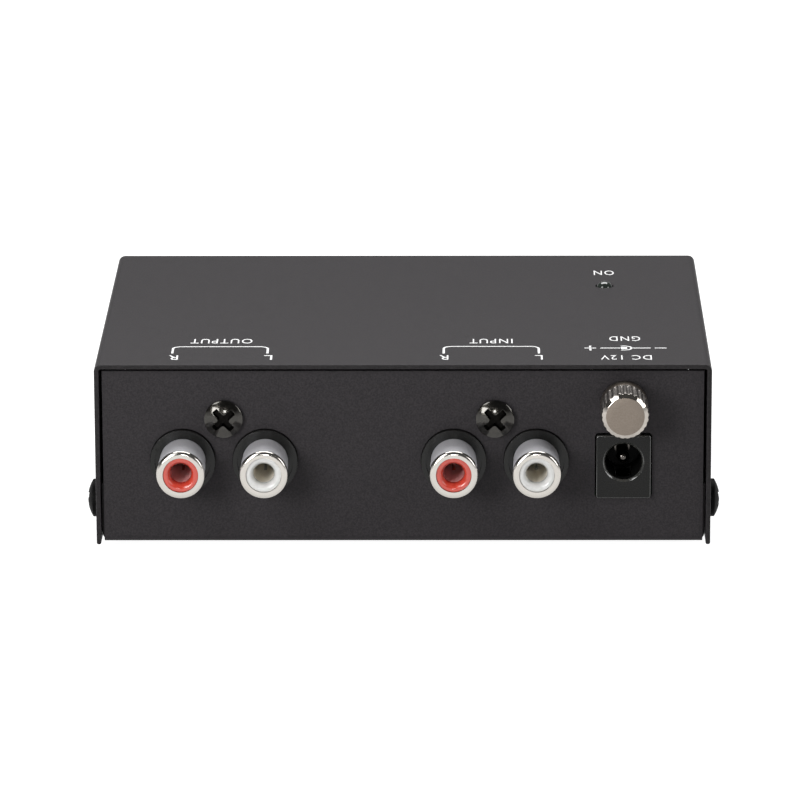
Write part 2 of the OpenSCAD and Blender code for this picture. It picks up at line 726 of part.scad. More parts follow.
// Knurled thumb nut with a plain collar, long flutes, a bevel and a flat closed face
module ground_thumb_nut() color("#a39a92") {
    bore_l = post_out_l + 0.4 - washer_t;
    flute_l = nut_l - nut_collar_l;
    cutter_r = nut_d / 2 - flute_depth + flute_r;
    difference() {
        turned_y(post_x, washer_face, post_z)
            polygon([[0, 0], [nut_d / 2 - 0.15, 0], [nut_d / 2, 0.15],
                [nut_d / 2, nut_l - nut_bevel_l - 0.4], [nut_d / 2 - 0.15, nut_l - nut_bevel_l],
                [nut_face_d / 2, nut_l], [0, nut_l]]);
        rod_y(post_x, post_z, post_d + 2 * running_gap, washer_face - 1, washer_face + bore_l);
        for (i = [0 : flute_count - 1])
            translate([post_x, washer_face + nut_collar_l, post_z]) rotate([-90, 0, 0])
                rotate([0, 0, 90 + 360 * i / flute_count]) translate([cutter_r, 0, flute_r]) {
                    cylinder(r = flute_r, h = flute_l, $fn = 16);
                    sphere(r = flute_r, $fn = 16);
                }
    }
}

// ---- indicator ----

// Lamp with a domed top and a rim at its base
module led() color("#20402a") {
    rod_z([led_x, led_y], led_base, led_base + led_flange_t, led_flange_d);
    rod_z([led_x, led_y], led_base, led_base + led_h - led_d / 2, led_d);
    translate([led_x, led_y, led_base + led_h - led_d / 2]) sphere(d = led_d);
}

// The lamp's two legs
module led_leads() color("#c4c4c0")
    for (p = led_lead_spots) rod_z(p, lead_bottom, led_base, 2 * lead_r);

// Nylon tube that holds the lamp up
module led_spacer() color("#e6e2d4") difference() {
    rod_z([led_x, led_y], board_top, led_base, led_spacer_d);
    for (p = led_lead_spots) rod_z(p, board_top - 1, led_base + 1, 2 * (lead_r + lead_gap));
}

// ---- circuit board ----

// Bare board with a hole for every lead, tag and blade
module circuit_board() color("#2f6b3a") difference() {
    translate([-board_w / 2, board_front, board_z]) cube([board_w, board_d, board_t]);
    for (p = lead_spots) board_hole(p, 2 * (lead_r + lead_gap));
    for (x = [output_x, input_x], side = [-1, 1]) {
        board_hole([x + side * jack_pitch / 2, pocket_y - tag_t / 2], tag_w + 2 * lead_gap + 0.1);
        board_hole([x + side * jack_pitch / 2, tail_y - tail_t / 2], tail_w + 2 * lead_gap + 0.1);
    }
    for (p = board_screw_spots) board_hole(p, screw_d + 2 * screw_clear);
    board_hole([wire_x, y_inner - lug_hole_in], wire_d + 2 * lead_gap);
    for (y = [dc_rear + 0.6, dc_spring_y + 0.2])
        translate([dc_x - dc_blade_w / 2 - lead_gap, y - lead_gap, board_z - 1])
            cube([dc_blade_w + 2 * lead_gap, dc_blade_t + 2 * lead_gap, board_t + 2]);
}

module board_hole(p, d) rod_z(p, board_z - 1, board_top + 1, d);

// Four tapped standoffs pressed into the tray's floor
module board_standoffs() color("#b9b4ac")
    for (p = board_screw_spots) difference() {
        union() {
            rod_z(p, floor_z + sheet_t, board_z, standoff_d);
            rod_z(p, floor_z, floor_z + sheet_t, standoff_foot_d);
        }
        rod_z(p, floor_z + sheet_t, board_z + 1, screw_d + 2 * tap_gap);
    }

// Four screws that hold the board to its standoffs
module board_screws() color("#c4c4c0")
    for (p = board_screw_spots)
        translate([p[0], p[1], board_top]) pan_screw(board_screw_l, screw_d);

// Electrolytic can with a rolled groove near its base
module can(p, d, h) {
    groove = 0.25;
    translate([p[0], p[1], board_top]) rotate_extrude() difference() {
        square([d / 2, h]);
        translate([d / 2, can_groove_z]) circle(2 * groove);
    }
}

// Two supply filter capacitors
module filter_capacitors() color("#23233a")
    for (p = filter_spots) can(p, filter_d, filter_h);

// Eight signal coupling capacitors
module coupling_capacitors() color("#1d1d22")
    for (p = coupling_spots) can(p, can_d, can_h);

// Eight film capacitors of the equalising network
module film_capacitors() color("#a8322a")
    for (p = film_spots) block(p, board_top, [film_w, film_t, film_h]);

// The legs of every capacitor
module capacitor_leads() color("#c4c4c0")
    for (p = capacitor_lead_spots) rod_z(p, lead_bottom, board_top, 2 * lead_r);

// Two dual amplifier chips, one for each channel
module op_amps() color("#1d1d1f")
    for (p = chip_spots) difference() {
        block(p, board_top + chip_lift, [chip_w, chip_l, chip_h]);
        rod_z(p + [0, chip_l / 2], board_top + chip_lift + chip_h - chip_notch_depth,
            board_top + chip_lift + 2 * chip_h, chip_notch_d);
    }

// The chips' legs, bent down from their sides
module op_amp_pins() color("#c4c4c0") {
    shoulder_z = board_top + chip_lift + chip_h / 2;
    reach = (chip_row - chip_w) / 2 + lead_r;
    for (p = chip_spots, side = [-1, 1], i = [0 : 3]) {
        x = p[0] + side * chip_row / 2;
        y = p[1] + (i - 1.5) * chip_pitch;
        rod_z([x, y], lead_bottom, shoulder_z, 2 * lead_r);
        translate([x - (side > 0 ? reach - lead_r : lead_r), y - lead_r, shoulder_z - lead_r])
            cube([reach, 2 * lead_r, lead_r]);
    }
}

// Moulded part of the regulator
module voltage_regulator() color("#1d1d1f")
    block(regulator_spot, board_top + regulator_lift, [regulator_w, regulator_t, regulator_h]);

// Metal tab behind it
module regulator_tab() color("#b9bac0") {
    y0 = regulator_spot[1] - regulator_t / 2 - regulator_tab_t;
    z1 = board_top + regulator_lift + regulator_tab_h;
    difference() {
        translate([regulator_spot[0] - regulator_w / 2, y0, board_top + regulator_lift])
            cube([regulator_w, regulator_tab_t, regulator_tab_h]);
        rod_y(regulator_spot[0], z1 - regulator_hole_in, regulator_hole_d, y0 - 1, y0 + 3);
    }
}

// Its three legs
module regulator_leads() color("#c4c4c0")
    for (p = regulator_lead_spots) rod_z(p, lead_bottom, board_top + regulator_lift, 2 * lead_r);

// Cylinder that lies on the board, along X or turned along Y
module lying(p, d, l, turn) {
    translate([p[0], p[1], board_top + d / 2]) rotate([0, 0, turn]) rotate([0, 90, 0])
        cylinder(d = d, h = l, center = true);
}

// Ends of a lying part's wire: out of the body and down through the board
module lying_leads(p, d, l, pitch, turn) {
    stub = (pitch - l) / 2;
    for (side = [-1, 1]) translate([p[0], p[1], 0]) rotate([0, 0, turn]) {
        translate([side * (l + stub) / 2, 0, board_top + d / 2]) rotate([0, 90, 0])
            cylinder(r = lead_r, h = stub, center = true);
        translate([side * pitch / 2, 0, board_top + d / 2]) sphere(r = lead_r);
        rod_z([side * pitch / 2, 0], lead_bottom, board_top + d / 2, 2 * lead_r);
    }
}

// All the resistors
module resistors() color("#b58f63") {
    for (p = flat_resistor_spots) lying(p, resistor_d, resistor_l, 0);
    for (p = deep_resistor_spots) lying(p, resistor_d, resistor_l, 90);
}

// Their wires
module resistor_leads() color("#c4c4c0") {
    for (p = flat_resistor_spots) lying_leads(p, resistor_d, resistor_l, resistor_pitch, 0);
    for (p = deep_resistor_spots) lying_leads(p, resistor_d, resistor_l, resistor_pitch, 90);
}

// Diode that guards the supply against a reversed plug
module rectifier_diode() color("#1d1d1f") lying(diode_spot, diode_d, diode_l, 90);

// Its wire
module diode_leads() color("#c4c4c0") lying_leads(diode_spot, diode_d, diode_l, diode_pitch, 90);

// ---- nodes ----

output_right_x = output_x + jack_pitch / 2;
output_left_x = output_x - jack_pitch / 2;
input_right_x = input_x + jack_pitch / 2;
input_left_x = input_x - jack_pitch / 2;
red = "#c5402f";
white = "#e2e2e0";

chassis_tray();
top_cover();
feet();
side_screws();
jack_housing(output_x);  // output_jack_housing
jack_housing(input_x);  // input_jack_housing
jack_screws();
jack_barrel(output_right_x);  // output_right_barrel
jack_barrel(output_left_x);  // output_left_barrel
jack_barrel(input_right_x);  // input_right_barrel
jack_barrel(input_left_x);  // input_left_barrel
jack_insulator(output_right_x, red);  // output_right_insulator
jack_insulator(output_left_x, white);  // output_left_insulator
jack_insulator(input_right_x, red);  // input_right_insulator
jack_insulator(input_left_x, white);  // input_left_insulator
jack_contact(output_right_x);  // output_right_contact
jack_contact(output_left_x);  // output_left_contact
jack_contact(input_right_x);  // input_right_contact
jack_contact(input_left_x);  // input_left_contact
dc_jack_housing();
dc_jack_pin();
dc_jack_spring();
ground_post();
ground_lug();
ground_lock_washer();
ground_hex_nut();
ground_wire();
ground_washer();
ground_thumb_nut();
led();
led_leads();
led_spacer();
circuit_board();
board_standoffs();
board_screws();
filter_capacitors();
coupling_capacitors();
film_capacitors();
capacitor_leads();
op_amps();
op_amp_pins();
voltage_regulator();
regulator_tab();
regulator_leads();
resistors();
resistor_leads();
rectifier_diode();
diode_leads();
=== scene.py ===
# %% [markdown]
# # Phono preamp in a folded steel case
# The CAD frame already has every part at its real size. This lesson dresses it: softened
# sheet edges, turned and fluted metal, moulded plastic, printed marks and a finish for every
# part. Nothing moves: a piece that stands for a CAD part stays exactly where that part is.

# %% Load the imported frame
import math

import bmesh
import bpy
from mathutils import Matrix, Vector


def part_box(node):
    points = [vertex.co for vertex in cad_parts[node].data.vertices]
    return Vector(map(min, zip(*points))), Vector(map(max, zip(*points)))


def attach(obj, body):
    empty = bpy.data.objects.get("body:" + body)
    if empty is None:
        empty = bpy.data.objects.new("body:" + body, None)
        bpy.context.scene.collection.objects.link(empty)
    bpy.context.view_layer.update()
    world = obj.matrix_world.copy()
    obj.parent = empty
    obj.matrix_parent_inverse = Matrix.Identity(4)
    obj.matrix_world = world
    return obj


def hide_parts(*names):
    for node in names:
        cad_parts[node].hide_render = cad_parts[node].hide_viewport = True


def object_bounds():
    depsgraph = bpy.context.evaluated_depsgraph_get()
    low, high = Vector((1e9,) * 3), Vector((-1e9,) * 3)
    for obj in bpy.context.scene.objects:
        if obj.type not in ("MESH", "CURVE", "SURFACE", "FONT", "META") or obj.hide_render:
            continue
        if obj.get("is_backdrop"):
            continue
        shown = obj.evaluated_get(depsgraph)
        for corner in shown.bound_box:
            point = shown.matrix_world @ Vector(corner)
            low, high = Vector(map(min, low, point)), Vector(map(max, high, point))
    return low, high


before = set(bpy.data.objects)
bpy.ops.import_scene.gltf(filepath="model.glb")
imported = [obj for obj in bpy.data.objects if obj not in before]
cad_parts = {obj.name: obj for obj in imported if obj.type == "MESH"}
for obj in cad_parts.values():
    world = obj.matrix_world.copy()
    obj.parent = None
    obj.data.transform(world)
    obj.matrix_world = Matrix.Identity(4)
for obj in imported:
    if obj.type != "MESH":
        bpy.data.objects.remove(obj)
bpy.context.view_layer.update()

mm = 0.001

# %% [markdown]
# ## Working like a hand
# Blender's operators act on whatever is selected. These helpers clear the selection, pick
# faces or edges by where they lie, and turn the numbers of a drawing into metres. Choosing
# by place instead of by index keeps working when a step before it changes.

# %% Helpers for selecting and finishing
def clear():
    bpy.ops.object.select_all(action="DESELECT")


def edit(mode="FACE"):
    bpy.ops.object.mode_set(mode="EDIT")
    bpy.ops.mesh.select_mode(type=mode)
    bpy.ops.mesh.select_all(action="DESELECT")


def leave():
    bpy.ops.object.mode_set(mode="OBJECT")


def pick(kind, test):
    """Selects the faces or edges whose middle passes the test, and says how many."""
    grid = bmesh.from_edit_mesh(bpy.context.object.data)
    for part in (*grid.verts, *grid.edges, *grid.faces):
        part.select = False
    chosen = 0
    for part in getattr(grid, kind):
        middle = sum((corner.co for corner in part.verts), Vector()) / len(part.verts)
        if test(middle / mm, part):
            part.select = True
            chosen += 1
    grid.select_flush_mode()
    bmesh.update_edit_mesh(bpy.context.object.data)
    return chosen


def place_now(name):
    """Puts the active object's place into its mesh and names it."""
    piece = bpy.context.object
    piece.name = piece.data.name = name
    bpy.ops.object.transform_apply(location=True, rotation=True, scale=True)
    return piece


def use(piece, kind, **settings):
    """Adds a modifier, sets it and applies it."""
    clear()
    piece.select_set(True)
    bpy.context.view_layer.objects.active = piece
    modifier = piece.modifiers.new(kind, kind)
    for key, value in settings.items():
        setattr(modifier, key, value)
    bpy.ops.object.modifier_apply(modifier=modifier.name)


def soften(piece, width, segments=2, angle=40):
    """Rounds every edge that is sharper than the angle, as tumbling or paint does."""
    use(piece, "BEVEL", width=width * mm, segments=segments, limit_method="ANGLE",
        angle_limit=math.radians(angle))


def box_of(node):
    low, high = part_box(node)
    return low / mm, high / mm


# %% [markdown]
# ## One way to hand a piece over
# Each finished piece gets smooth shading that stays flat on flat faces, its material and the
# body that it rides on, and the CAD part that it stands for is hidden.

# %% Finish a piece
def hand_over(piece, material, node, body="case", smooth=30):
    clear()
    piece.select_set(True)
    bpy.context.view_layer.objects.active = piece
    bpy.ops.object.shade_smooth_by_angle(angle=math.radians(smooth))
    use(piece, "WEIGHTED_NORMAL", keep_sharp=True, weight=80)
    for one in material if isinstance(material, list) else [material]:
        piece.data.materials.append(one)
    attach(piece, body)
    if node:
        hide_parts(node)
    print(f"{piece.name}: {len(piece.data.polygons)} faces")
    return piece


# %% [markdown]
# ## Materials as small node trees
# `add` makes one node, sets it and links it. `colour` turns a hex colour, as a paint chart
# gives it, to the linear numbers that light is computed with.

# %% Node and colour helpers
def add(tree, kind, settings, links=None):
    new = tree.nodes.new("ShaderNode" + kind)
    for key, value in settings.items():
        if isinstance(key, int) or key in new.inputs:
            new.inputs[key].default_value = value
        else:
            setattr(new, key, value)
    for key, socket in (links or {}).items():
        tree.links.new(socket, new.inputs[key])
    return new


def colour(code):
    parts = [int(code[i:i + 2], 16) / 255 for i in (1, 3, 5)]
    return (*[p / 12.92 if p <= 0.04045 else ((p + 0.055) / 1.055) ** 2.4 for p in parts], 1)


def two_tone(tree, value, low, high, tones):
    """Colour that goes from one tone to the other as the value goes from low to high."""
    ramp = add(tree, "ValToRGB", {}, {"Fac": value})
    for stop, place, tone in zip(ramp.color_ramp.elements, (low, high), tones):
        stop.position = place
        stop.color = colour(tone)
    return ramp.outputs["Color"]


# %% [markdown]
# ## A surface with grain
# Nearly every finish here is one colour broken up by a fine noise, with a height and a
# shine that follow it. The grain is given in millimetres, so a paint's orange peel and a
# moulding's spark texture keep their real scale. `stretch` draws the noise out, as brushing
# or turning does.

# %% Grained finish
def finish(name, tones, grain, height=0.0, shine=(0.4, 0.5), stretch=(1, 1, 1), **surface):
    material = bpy.data.materials.new(name)
    material.use_nodes = True
    tree = material.node_tree
    principled = tree.nodes["Principled BSDF"]
    for key, value in surface.items():
        principled.inputs[key.replace("_", " ").title().replace("Ior", "IOR")].default_value = value
    place = add(tree, "TexCoord", {}).outputs["Object"]
    drawn = add(tree, "Mapping", {"Scale": stretch}, {"Vector": place})
    noise = add(tree, "TexNoise", {"Scale": 1 / (grain * mm), "Detail": 3.0, "Roughness": 0.6},
                {"Vector": drawn.outputs["Vector"]}).outputs["Fac"]
    tree.links.new(two_tone(tree, noise, 0.35, 0.65, tones), principled.inputs["Base Color"])
    rough = add(tree, "MapRange", {1: 0.3, 2: 0.7, 3: shine[0], 4: shine[1]}, {0: noise})
    tree.links.new(rough.outputs["Result"], principled.inputs["Roughness"])
    if height:
        bump = add(tree, "Bump", {"Distance": height * mm, "Strength": 1.0}, {"Height": noise})
        tree.links.new(bump.outputs["Normal"], principled.inputs["Normal"])
    return material


# %% [markdown]
# ## Camera
# The picture is taken from behind and a little above with a long lens, from about one metre,
# so the sides of the case hardly converge. The numbers are the lens, the distance and three
# angles; the camera's own axes are worked out from them.

# %% Place the camera
camera_distance = 970.94
camera_height = math.radians(15.494)
camera_swing = math.radians(-0.585)
camera_roll = math.radians(-0.186)
look_at = Vector((0.48, 33.75, 27.536))
focal_pixels = 5740.3
frame_pixels = 800
sensor = 36

back = Vector((math.sin(camera_swing) * math.cos(camera_height),
               math.cos(camera_swing) * math.cos(camera_height), math.sin(camera_height)))
flat_right = (-back).cross(Vector((0, 0, 1))).normalized()
flat_up = flat_right.cross(-back)
right = math.cos(camera_roll) * flat_right + math.sin(camera_roll) * flat_up
up = math.cos(camera_roll) * flat_up - math.sin(camera_roll) * flat_right
bpy.ops.object.camera_add()
camera = bpy.context.object
camera.name = "camera"
camera.matrix_world = Matrix.LocRotScale(
    (look_at + camera_distance * back) * mm, Matrix((right, up, back)).transposed(), None)
camera.data.sensor_width = sensor
camera.data.lens = focal_pixels / frame_pixels * sensor
bpy.context.scene.camera = camera
bpy.context.scene.view_settings.view_transform = "Standard"
print("lens in mm:", round(camera.data.lens, 1))

# %% [markdown]
# ## Studio
# Two soft boxes stand beside the rear panel, one high on the +X side and a lower one on the
# other. Their reflections draw the two bright strokes on every polished edge. A fill between
# them lights the panel and throws the sockets' soft shadows to one side, and a faint box next
# to the camera reaches into the sockets' holes. A large box hangs overhead. The dark ceiling
# gives metal its contrast. Floor and horizon are white, also in reflections, and the floor
# keeps the shadow.

# %% Soft boxes
def soft_box(name, swing, height, distance, size, power):
    """A lamp at a compass angle from +Y towards +X and a height in degrees, aimed at the part."""
    a, h = math.radians(swing), math.radians(height)
    way = Vector((math.sin(a) * math.cos(h), math.cos(a) * math.cos(h), math.sin(h)))
    bpy.ops.object.light_add(type="AREA")
    lamp = bpy.context.object
    lamp.name = name
    lamp.data.shape = "RECTANGLE"
    lamp.data.size, lamp.data.size_y = size
    lamp.data.energy = power
    lamp.location = Vector((0, 0.02, 0.02)) + way * distance
    lamp.rotation_euler = way.to_track_quat("Z", "Y").to_euler()
    lamp.visible_camera = False


soft_box("key_box", 44, 45, 0.6, (0.22, 0.2), 1.0)
soft_box("side_box", -66, 24, 0.6, (0.2, 0.3), 0.9)
soft_box("fill_box", 32, 16, 0.45, (0.16, 0.14), 1.2)
soft_box("hole_box", -0.6, 15.5, 0.8, (0.1, 0.1), 0.8)
soft_box("top_box", 180, 60, 1.0, (0.9, 0.6), 13.6)

# %% White surroundings with a dark ceiling
world = bpy.data.worlds.new("studio")
bpy.context.scene.world = world
world.use_nodes = True
sky = world.node_tree
sky.nodes.clear()
ray = add(sky, "LightPath", {})
direction = add(sky, "SeparateXYZ", {}, {0: add(sky, "TexCoord", {}).outputs["Generated"]})
ceiling = add(sky, "ValToRGB", {}, {"Fac": direction.outputs["Z"]})
ceiling.color_ramp.elements[0].position = 0.02
ceiling.color_ramp.elements[0].color = (1, 1, 1, 1)
ceiling.color_ramp.elements[1].position = 0.22
ceiling.color_ramp.elements[1].color = (0.1, 0.1, 0.1, 1)
around = add(sky, "Background", {"Color": (1, 1, 1, 1), "Strength": 0.14})
mirrored = add(sky, "Background", {"Strength": 1.0}, {"Color": ceiling.outputs["Color"]})
seen = add(sky, "Background", {"Color": (1, 1, 1, 1), "Strength": 1.0})
shiny = add(sky, "MixShader", {}, {0: ray.outputs["Is Glossy Ray"],
                                   1: around.outputs[0], 2: mirrored.outputs[0]})
direct = add(sky, "Math", {"operation": "MAXIMUM"}, {0: ray.outputs["Is Camera Ray"],
                                                     1: ray.outputs["Is Transmission Ray"]})
both = add(sky, "MixShader", {}, {0: direct.outputs[0], 1: shiny.outputs[0], 2: seen.outputs[0]})
add(sky, "OutputWorld", {}, {"Surface": both.outputs[0]})

# %% White floor that keeps a light shadow
clear()
bpy.ops.mesh.primitive_plane_add(size=40)
floor = bpy.context.object
floor.name = "floor"
floor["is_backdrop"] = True
paper = bpy.data.materials.new("white_paper")
paper.use_nodes = True
sheet = paper.node_tree
sheet.nodes.clear()
ray = add(sheet, "LightPath", {})
matt = add(sheet, "BsdfDiffuse", {"Color": (0.3, 0.3, 0.3, 1)})
faint = add(sheet, "BsdfDiffuse", {"Color": (0.25, 0.25, 0.25, 1)})
glow = add(sheet, "Emission", {"Color": (1, 1, 1, 1), "Strength": 0.965})
lit = add(sheet, "AddShader", {}, {0: faint.outputs[0], 1: glow.outputs[0]})
direct = add(sheet, "Math", {"operation": "MAXIMUM"}, {0: ray.outputs["Is Camera Ray"],
                                                       1: ray.outputs["Is Glossy Ray"]})
direct = add(sheet, "Math", {"operation": "MAXIMUM"}, {0: direct.outputs[0],
                                                       1: ray.outputs["Is Transmission Ray"]})
both = add(sheet, "MixShader", {}, {0: direct.outputs[0], 1: matt.outputs[0], 2: lit.outputs[0]})
add(sheet, "OutputMaterial", {}, {"Surface": both.outputs[0]})
floor.data.materials.append(paper)

# %% [markdown]
# ## Finishes outside the case
# Each is named for what it is and how it was made, or for the shade or highlight painted into
# it. The comment says what that gives the eye.

# %% Outside finishes
# Fine-textured powder coat, sprayed dry and baked: near black, a soft sheen, a faint grain.
# Its real grain is about 0.15 mm and is drawn at 0.28 mm, the finest that still shows.
powder_coat = finish("powder_coated_steel", ("#201e20", "#302d2f"), 0.28, 0.012,
                     shine=(0.45, 0.6), specular_ior_level=0.15)
# The sheared edge of that sheet: the coat is thin and coarse there, darker and speckled.
cut_edge = finish("coated_cut_edge", ("#100e0f", "#252324"), 0.35, 0.02,
                  shine=(0.5, 0.65), specular_ior_level=0.18)
# Black nickel on steel screws: dark, smoky mirror.
black_nickel = finish("black_nickel_steel", ("#2d2b28", "#383632"), 0.5, 0.001,
                      shine=(0.14, 0.24), metallic=1.0, coat_weight=0.6)
# The floor and walls of a pressed recess, painted almost black and dull as painted shade.
recess_shade = finish("painted_shade_recess_nickel", ("#0c0b0a", "#141312"), 0.5, 0.002,
                      shine=(0.35, 0.5), metallic=1.0)
# The rim of that recess: a thin line of bright metal, partly bared by the driver and partly a
# painted highlight.
worn_highlight_rim = finish("worn_and_highlight_recess_rim", ("#a8a39b", "#b8b3aa"), 0.3, 0.001, shine=(0.36, 0.46),
                  metallic=1.0)
# The side screws' heads, seen edge-on in shadow: painted all but black as painted shade.
shade_black_steel = finish("painted_shade_screw_steel", ("#040404", "#080808"), 0.5, 0.002,
                     shine=(0.5, 0.6), specular_ior_level=0.05)
# Injection-moulded ABS, straight from a polished tool: dark grey, half gloss.
black_abs = finish("moulded_black_abs", ("#0c0c0b", "#11110f"), 0.3, 0.003, shine=(0.16, 0.26),
                   specular_ior_level=0.28)
# Nickel plate on turned brass, face and edges buffed: bright with a faint warm tint.
polished_nickel = finish("polished_nickel_plate", ("#a59f98", "#b0aaa3"), 0.6,
                         shine=(0.05, 0.09), metallic=1.0)
# The same plate left as turned, on the flat face and the plain collar: a fine satin.
satin_nickel = finish("satin_nickel_plate", ("#736a61", "#7c736a"), 0.25, 0.002,
                      shine=(0.38, 0.46), metallic=1.0)
# The flutes, as the knurling wheel leaves them, and the washer: grey, softly shining.
knurled_nickel = finish("knurled_nickel_plate", ("#676360", "#75716e"), 0.3, 0.003,
                        shine=(0.36, 0.46), metallic=1.0)
# Red and white moulded nylon: clear colour, glossy skin.
red_nylon = finish("moulded_red_nylon", ("#b93a2b", "#c24434"), 0.8, shine=(0.12, 0.18),
                   coat_weight=0.6)
white_nylon = finish("moulded_white_nylon", ("#c8c8c6", "#d2d2d0"), 0.8, shine=(0.12, 0.18),
                     coat_weight=0.6)
# Tinned bronze strip, rolled: soft grey metal.
tinned_bronze = finish("tinned_bronze", ("#e4ded1", "#eee8db"), 0.15, 0.002,
                       shine=(0.3, 0.42), stretch=(1, 0.2, 1), metallic=0.1)
# Nickel-plated pin and leaf of the power socket, painted dark as painted shade, since they sit
# deep in the bore: a smoky mirror that shows as a glint and little else.
shaded_nickel = finish("shaded_nickel_pin", ("#4c4946", "#585451"), 0.4, 0.001,
                       shine=(0.1, 0.16), metallic=1.0)
# The rounded edges of both mouldings, where the tool was polished: glossier, and painted
# lighter than the body as a painted highlight, so they catch the lamps.
edge_highlight = finish("glossy_painted_highlight_edge", ("#2a2a28", "#343432"), 0.4, 0.001,
                    shine=(0.14, 0.2), specular_ior_level=1.0)
# Tinned bronze in a red socket, tinted pink: a painted reflection of the red mouth.
red_reflection_bronze = finish("painted_red_reflection_bronze", ("#d69a98", "#e0a4a2"), 0.15, 0.002,
                       shine=(0.3, 0.42), stretch=(1, 0.2, 1), metallic=0.1)
# Moulded nylon body of the power socket: dark, slightly coarser and duller.
black_nylon = finish("moulded_black_nylon", ("#0f0f0e", "#141413"), 0.25, 0.004,
                     shine=(0.22, 0.32), specular_ior_level=0.18)
# The same plastic deep in the bore, painted near black and dull as painted shade.
bore_shade_nylon = finish("painted_shade_bore_nylon", ("#080808", "#0d0d0d"), 0.25, 0.004,
                    shine=(0.5, 0.6), specular_ior_level=0.1)
# Turned brass, bare: yellow metal with fine rings.
bare_brass = finish("turned_brass", ("#b49a5a", "#c6ad6e"), 0.12, 0.002, shine=(0.25, 0.36),
                    stretch=(0.3, 1, 0.3), metallic=1.0)
# Moulded rubber: black, dull, faintly dusty.
rubber = finish("moulded_rubber", ("#1b1b1b", "#262626"), 0.4, 0.02, shine=(0.7, 0.85))
# Smoked epoxy lens of a lamp that is off: dark and very glossy.
smoked_epoxy = finish("smoked_epoxy", ("#1c211e", "#252b27"), 0.9, shine=(0.06, 0.1),
                      coat_weight=0.3)
# Screen-printed ink: flat white with a slightly uneven film.
white_ink = finish("screen_printed_ink", ("#dcdcdc", "#e8e8e8"), 0.2, 0.004, shine=(0.5, 0.6))

# %% [markdown]
# ## Finishes inside the case
# They show only when the cover is off.

# %% Inside finishes
# Zinc-plated steel: bluish grey metal with a soft cloudy pattern.
zinc_plate = finish("zinc_plated_steel", ("#a5a8aa", "#bcbfc0"), 0.7, 0.002,
                    shine=(0.3, 0.45), metallic=1.0)
# Tinned copper wire: pink-orange copper, lightly tarnished.
copper = finish("tinned_copper_wire", ("#b8744a", "#cf8d62"), 0.4, shine=(0.25, 0.4),
                metallic=1.0)
# Moulded nylon spacer: milky and waxy.
milky_nylon = finish("milky_nylon", ("#d9d4c6", "#e6e2d6"), 0.6, shine=(0.4, 0.5))
# Glass-fibre board under solder mask: deep green gloss with the weave showing.
solder_mask = finish("green_solder_mask", ("#1f5a30", "#2d6f3f"), 0.5, 0.004,
                     shine=(0.25, 0.4), stretch=(1, 0.3, 1))
# Heat-shrunk PVC sleeve of the capacitors: blue-black gloss.
pvc_sleeve = finish("shrunk_pvc_sleeve", ("#1e1f2c", "#282a3a"), 0.6, 0.003, shine=(0.2, 0.3))
# Dipped epoxy of the film capacitors: brick red, rounded gloss.
dipped_epoxy = finish("dipped_red_epoxy", ("#93291f", "#a93a2e"), 0.7, 0.01, shine=(0.2, 0.32))
# Moulded epoxy of the chips: dark grey and matt from the spark-eroded tool.
moulded_epoxy = finish("moulded_chip_epoxy", ("#1b1b1d", "#26262a"), 0.12, 0.006,
                       shine=(0.5, 0.65))
# Lacquered resistor body: tan gloss.
lacquer = finish("lacquered_resistor", ("#b08a5c", "#c29d70"), 0.5, 0.004, shine=(0.25, 0.4))

# %% [markdown]
# ## Barrel metal
# A socket's barrel is one turned part in two finishes: the sides are satin from the tool,
# and the rolled lip is polished. One material does both, because the lip begins at a known
# distance along the axis.

# %% Nickel barrel, satin sides and polished lip
lip_start = 41.5
barrel_metal = finish("nickel_barrel", ("#bebdc1", "#c9c8cc"), 0.2)
tree = barrel_metal.node_tree
principled = tree.nodes["Principled BSDF"]
along = add(tree, "SeparateXYZ", {}, {0: add(tree, "TexCoord", {}).outputs["Object"]})
on_lip = add(tree, "MapRange", {1: (lip_start - 0.05) * mm, 2: (lip_start + 0.05) * mm},
             {0: along.outputs["Y"]}).outputs["Result"]
for quality, side_value, lip_value in (("Roughness", 0.5, 0.15), ("Metallic", 0.35, 1.0)):
    level = add(tree, "MapRange", {3: side_value, 4: lip_value}, {0: on_lip})
    tree.links.new(level.outputs["Result"], principled.inputs[quality])
side_tone = principled.inputs["Base Color"].links[0].from_socket
tone = add(tree, "Mix", {"data_type": "RGBA", 7: colour("#bdb9b3")}, {0: on_lip, 6: side_tone})
tree.links.new(tone.outputs[2], principled.inputs["Base Color"])

# %% Give every CAD part its finish
by_slot = {
    "case_paint": powder_coat, "screw_black": black_nickel, "foot_rubber": rubber,
    "jack_plastic": black_abs, "nickel": barrel_metal, "red_insulator": red_nylon,
    "white_insulator": white_nylon, "contact_tin": tinned_bronze, "dc_plastic": black_nylon,
    "post_brass": bare_brass, "zinc_steel": zinc_plate, "copper_wire": copper,
    "nut_nickel": polished_nickel, "led_lens": smoked_epoxy, "spacer_nylon": milky_nylon,
    "board_green": solder_mask, "can_sleeve": pvc_sleeve, "film_body": dipped_epoxy,
    "chip_epoxy": moulded_epoxy, "resistor_body": lacquer,
}
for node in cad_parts.values():
    for held in node.material_slots:
        held.material = by_slot[held.material.name.split(".")[0]]
# The power socket's pin and leaf take the painted shade, and the red sockets' contacts the painted
# red reflection.
for name, material in (("dc_jack_pin", shaded_nickel), ("dc_jack_spring", shaded_nickel),
                       ("output_right_contact", red_reflection_bronze),
                       ("input_right_contact", red_reflection_bronze)):
    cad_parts[name].material_slots[0].material = material
print("CAD parts with a finish:", len(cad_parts))

# %% [markdown]
# ## Top cover
# The real cover is a flat blank folded down at both sides. Here a block of its outer size
# loses its bottom, front and rear faces, the two long edges are rounded to the fold, and
# Solidify gives the sheet its thickness inwards. A small bevel stands for the paint that
# pulls thin over every cut edge and catches a line of light.

